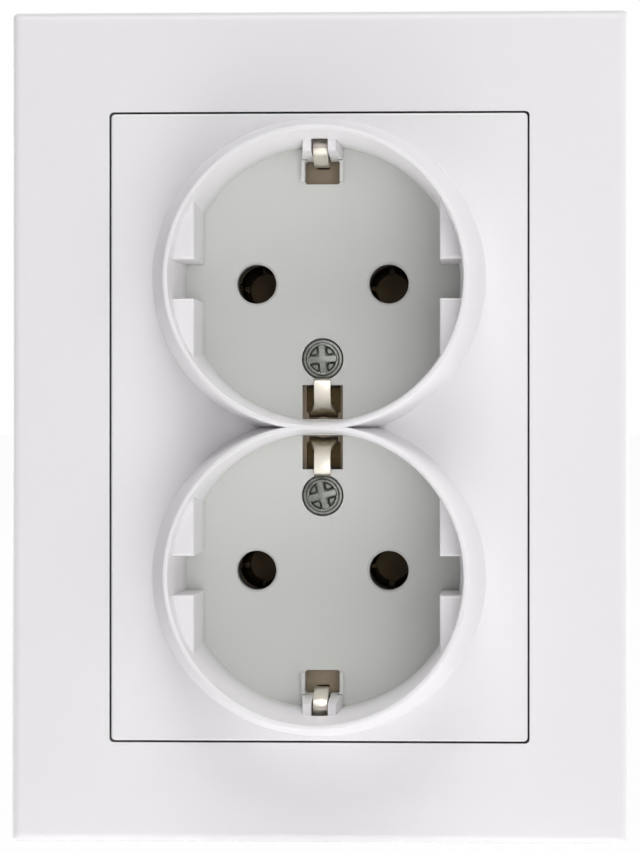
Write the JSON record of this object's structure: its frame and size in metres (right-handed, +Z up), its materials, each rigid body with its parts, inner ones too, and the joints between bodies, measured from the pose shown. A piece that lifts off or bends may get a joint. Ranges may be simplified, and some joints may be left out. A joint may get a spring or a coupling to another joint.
{
  "type": "double wall socket",
  "caption": "Upright two-gang flush wall socket with raised round wells, side earth contacts and a rectangular cover frame.",
  "frame": {"origin": "on the wall, midway between the two wells and between the two flush-box screws", "axes": "+Z up, +X right for someone facing the wall, +Y into the wall"},
  "size_m": [0.0868, 0.0493, 0.1168],
  "materials": {
    "white_plastic": "moulded, satin gloss",
    "base_plastic": "moulded, matt",
    "guard_plastic": "moulded, matt",
    "zinc_steel": "punched sheet, zinc plated",
    "nickel_brass": "punched strip, nickel plated",
    "zinc_screws": "zinc plated",
    "brass": "bare punched strip",
    "dull_brass": "bare punched strip, tarnished",
    "spring_steel": "rolled spring strip",
    "button_black": "moulded",
    "button_blue": "moulded",
    "button_green": "moulded"
  },
  "bodies": {
    "socket": {"cover_frame": "white_plastic", "centre_plate": "white_plastic", "socket_base": "base_plastic", "touch_guard": "guard_plastic", "support_plate": "zinc_steel", "earth_strap": "nickel_brass", "strap_rivets": "nickel_brass", "earth_rivet": "nickel_brass", "cover_screws": "zinc_screws", "base_screws": "zinc_screws", "cover_nuts": "zinc_screws", "contact_bar_left": "brass", "contact_bar_right": "brass", "earth_blade": "dull_brass", "contact_spring_lower_left": "spring_steel", "contact_spring_lower_right": "spring_steel", "contact_spring_upper_left": "spring_steel", "contact_spring_upper_right": "spring_steel", "wire_clamp_left": "spring_steel", "wire_clamp_right": "spring_steel", "wire_clamp_earth": "spring_steel"},
    "button_left": {"release_button_left": "button_black"},
    "button_right": {"release_button_right": "button_blue"},
    "button_earth": {"release_button_earth": "button_green"}
  },
  "joints": [
    {"name": "press_left", "type": "slide", "parent": "socket", "child": "button_left", "axis": [0, -1, 0], "range_m": [0, 0.0015], "stiffness_N_per_m": 400, "springref_m": -0.0008},
    {"name": "press_right", "type": "slide", "parent": "socket", "child": "button_right", "axis": [0, -1, 0], "range_m": [0, 0.0015], "stiffness_N_per_m": 400, "springref_m": -0.0008},
    {"name": "press_earth", "type": "slide", "parent": "socket", "child": "button_earth", "axis": [0, -1, 0], "range_m": [0, 0.0015], "stiffness_N_per_m": 400, "springref_m": -0.0008}
  ]
}
